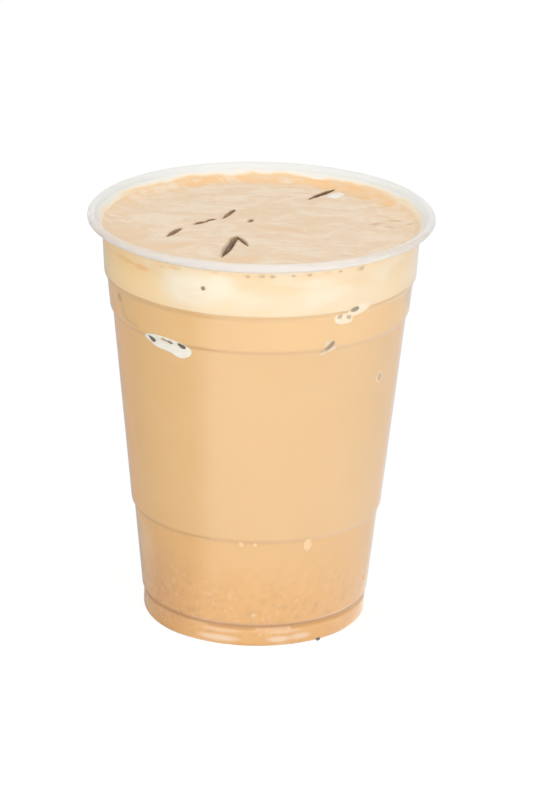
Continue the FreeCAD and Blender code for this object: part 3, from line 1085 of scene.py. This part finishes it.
def makeMark(name, inside, turn, level, width, height, tilt, *pulls):
    # a thin patch that follows the wall just inside its outer face, seen through the clear plastic
    piece = startDisc(name, 0.001, 0, markSet["points"])
    for _ in range(markSet["insets"]):
        bpy.ops.mesh.inset(thickness=0.0002, depth=0)
    bpy.ops.mesh.select_all(action="SELECT")
    bpy.ops.transform.resize(value=(width / 2, height / 2, 1), center_override=(0, 0, 0))
    for (x, y), (right, up), reach in pulls:
        endEdit()
        near = Vector((x, y, 0)) / 1000
        nearest = min((vertex.co - near).length for vertex in piece.data.vertices)
        selectPoints(piece, lambda spot: (spot - near).length < nearest + 0.0002)
        bpy.ops.transform.translate(
            value=(right / 1000, up / 1000, 0),
            use_proportional_edit=True,
            proportional_edit_falloff="SMOOTH",
            proportional_size=reach / 1000,
        )
    endEdit()
    spot = wallSpot(cupNode, turn, level / 1000)
    piece.rotation_euler = (math.pi / 2, math.radians(tilt), math.radians(turn))
    piece.location = Vector((spot.x, spot.y, level / 1000)) + facing(turn) * markSet["apart"]
    wrap = piece.modifiers.new("lie", "SHRINKWRAP")
    wrap.target = cupNode
    wrap.wrap_method = "PROJECT"
    wrap.use_project_z = True
    wrap.use_positive_direction = False
    wrap.use_negative_direction = True
    wrap.wrap_mode = "ABOVE_SURFACE"
    wrap.offset = -inside
    wall = piece.modifiers.new("wall", "SOLIDIFY")
    wall.thickness = markSet["thickness"]
    wall.offset = 1.0
    applyModifiers(piece)
    setOrigin(piece)
    smoothShade(piece, 60)
    return piece


for name, (look, inside, slot, color, tip, rows) in markPieces.items():
    material, _, _ = makeClouded(look, color, tip, markSet)
    marks = [makeMark(f"{name}{index}", inside, *row) for index, row in enumerate(rows)]
    piece = joinPieces(marks, name)
    piece.data.materials.append(material)
    finishPiece(piece)
print("ice edges and foam patches show at the wall")


bubbleSet = {
    "count": 120,
    "small": 0.00016,
    "large": 0.00052,
    "fewLarge": 2.5,  # the higher, the fewer large ones
    "reach": 0.0425,
    "outward": 0.42,  # the lower, the more of them lie near the wall
    "flat": 0.7,
    "sunk": 0.15,
    "cut": 0.45,
    "color": (0.760, 0.590, 0.420),
    "tip": (0.810, 0.660, 0.500),
    "finish": (0.45, 0.3),
    "cloud": (300.0, 2.0),
    "fade": (0.40, 0.65),
}


def makeDome(name, below):
    # a ball with its underside cut off flat
    deselectAll()
    bpy.ops.mesh.primitive_ico_sphere_add(subdivisions=2, radius=1.0, location=(0, 0, 0))
    piece = newest(name)
    startEdit()
    bpy.ops.mesh.bisect(plane_co=(0, 0, -below), plane_no=(0, 0, 1), use_fill=True, clear_inner=True)
    endEdit()
    return piece


def makeBubbles():
    start = makeDome("bubbleStart", bubbleSet["cut"])
    least, most = bubbleSet["small"], bubbleSet["large"]
    bubbles = []
    while len(bubbles) < bubbleSet["count"]:
        radius = bubbleSet["reach"] * random.random() ** bubbleSet["outward"]
        turn = random.uniform(-180, 180)
        size = least + (most - least) * random.random() ** bubbleSet["fewLarge"]
        above = facing(turn) * radius + Vector((0, 0, 0.13))
        hit, spot, _, _ = foam.ray_cast(above, Vector((0, 0, -1)))
        if not hit or pitWeight(spot) > 0:
            continue
        bubble = copyOf(start, f"bubble{len(bubbles)}")
        bubble.scale = (size, size, size * bubbleSet["flat"])
        bubble.location = (spot.x, spot.y, spot.z - size * bubbleSet["sunk"])
        bubbles.append(bubble)
    bpy.data.objects.remove(start, do_unlink=True)
    piece = joinPieces(bubbles, "foamBubbles")
    setOrigin(piece)
    turnNormalsOut(piece)
    smoothShade(piece, 60)
    return piece


bubbles = makeBubbles()
bubbles.data.materials.append(makeClouded("foamBubble", bubbleSet["color"], bubbleSet["tip"], bubbleSet)[0])
finishPiece(bubbles)
print("small bubbles lie on the foam")


filmSet = {
    "segments": 192,
    "steps": 12,
    "from": 0.1163,
    "to": 0.1185,
    "off": 0.00005,  # how far the film stands off the wall
    "thickness": 0.00006,
    "caramel": (0.810, 0.580, 0.340),
    "cream": (0.900, 0.790, 0.620),
    "pale": (0.812, 0.800, 0.742),
    "finish": (0.55, 0.2),
    "drift": (62.0, 2.5, 0.55, 0.4),
    "driftReach": 0.0038,
    # foam colored next to the foam, and as pale as the rim further up
    "layers": (
        ("caramel", ("level", 0.1168, 0.1179, 1.0, 0.0), ("depth", 0.012, 0.040, 0.15, 1.0)),
        ("pale", ("level", 0.1172, 0.1182)),
    ),
}


def filmRings():
    outer = []
    for i in range(filmSet["steps"] + 1):
        level = filmSet["from"] + (filmSet["to"] - filmSet["from"]) * i / filmSet["steps"]
        spot = innerSpot(wallSet["turn"], level)
        outer.append((math.hypot(spot.x, spot.y) - filmSet["off"], level))
    inner = [(radius - filmSet["thickness"], level) for radius, level in reversed(outer)]
    return outer + inner + outer[:1]


def makeFilm():
    # a thin strip that goes up the inside of the wall and comes back down to where it began
    rings = filmRings()
    piece = startDisc("foamFilm", *rings[0], filmSet["segments"], "NOTHING", "EDGE")
    extrudeRings(rings)
    bpy.ops.mesh.select_all(action="SELECT")
    bpy.ops.mesh.remove_doubles(threshold=0.000002)
    endEdit()
    turnNormalsOut(piece)
    smoothShade(piece, 60)
    return piece


def makeFilmMaterial():
    material, shader = newMaterial("foamFilm", filmSet["cream"], *filmSet["finish"])
    place = objectPlace(material)
    _, depth, level = partsOf(material, place)
    drift = calculate(material, "SUBTRACT", noiseOf(material, place, *filmSet["drift"]), 0.5)
    wavy = calculate(material, "ADD", level, calculate(material, "MULTIPLY", drift, filmSet["driftReach"]))
    measures = {"level": wavy, "depth": depth}
    color = paintLayers(material, filmSet["cream"], filmSet, filmSet["layers"], measures)
    feed(material, shader, "Base Color", color)
    return material


foamFilm = makeFilm()
foamFilm.data.materials.append(makeFilmMaterial())
finishPiece(foamFilm)
print("a film of foam clings to the wall")


dropSet = {
    # turn, level, width and height in mm
    "drops": (
        (-6.4, 33.0, 1.7, 1.8),
        (0.1, 32.9, 1.4, 1.4),
        (25.0, 32.0, 2.9, 4.2),
        (-0.3, 10.5, 1.5, 1.6),
        (72.5, 14.0, 1.6, 2.4),
    ),
    "darkDrops": ((35.5, 0.9, 1.6, 1.3),),
    "depth": 0.00045,
    "cut": 0.2,
    "upper": (0.72, 1, 0.8),  # a drop is fuller below
    "finish": (0.12, 0.5),
    "cloud": (500.0, 2.0),
    "fade": (0.38, 0.66),
    "deeper": 0.94,
    "refraction": 1.33,
    "lampTint": (0.98, 0.96, 0.93),
    "color": (0.935, 0.640, 0.365),
    "darkColor": (0.20, 0.17, 0.15),
}


def makeDrop(name, turn, level, width, height):
    start = makeDome(name, dropSet["cut"])
    spot = wallSpot(cupNode, turn, level / 1000)
    startEdit()
    bpy.ops.transform.resize(value=(width / 2000, height / 2000, dropSet["depth"]), center_override=(0, 0, 0))
    selectPoints(start, lambda place: place.y > height / 5000)
    bpy.ops.transform.resize(value=dropSet["upper"], center_override=(0, 0, 0))
    endEdit()
    smooth = start.modifiers.new("round", "SUBSURF")
    smooth.levels = smooth.render_levels = 1
    applyModifiers(start)
    start.rotation_euler = (math.pi / 2, 0, math.radians(turn))
    start.location = spot
    setOrigin(start)
    turnNormalsOut(start)
    smoothShade(start, 60)
    return start


def makeDrops(name, group, look, color, share):
    drops = [makeDrop(f"{look}{index}", *numbers) for index, numbers in enumerate(dropSet[group])]
    piece = joinPieces(drops, name)
    deeper = tuple(value * dropSet["deeper"] for value in color)
    material, shader, _ = makeClouded(look, color, deeper, dropSet)
    shader.inputs["IOR"].default_value = dropSet["refraction"]
    shader.inputs["Transmission Weight"].default_value = share
    letLampsThrough(material, shader, dropSet["lampTint"])
    piece.data.materials.append(material)
    finishPiece(piece)


makeDrops("paleDrops", "drops", "paleDrop", dropSet["color"], 0.12)
makeDrops("coffeeDrop", "darkDrops", "coffeeDrop", dropSet["darkColor"], 0.2)
print("drops cling to the outside")
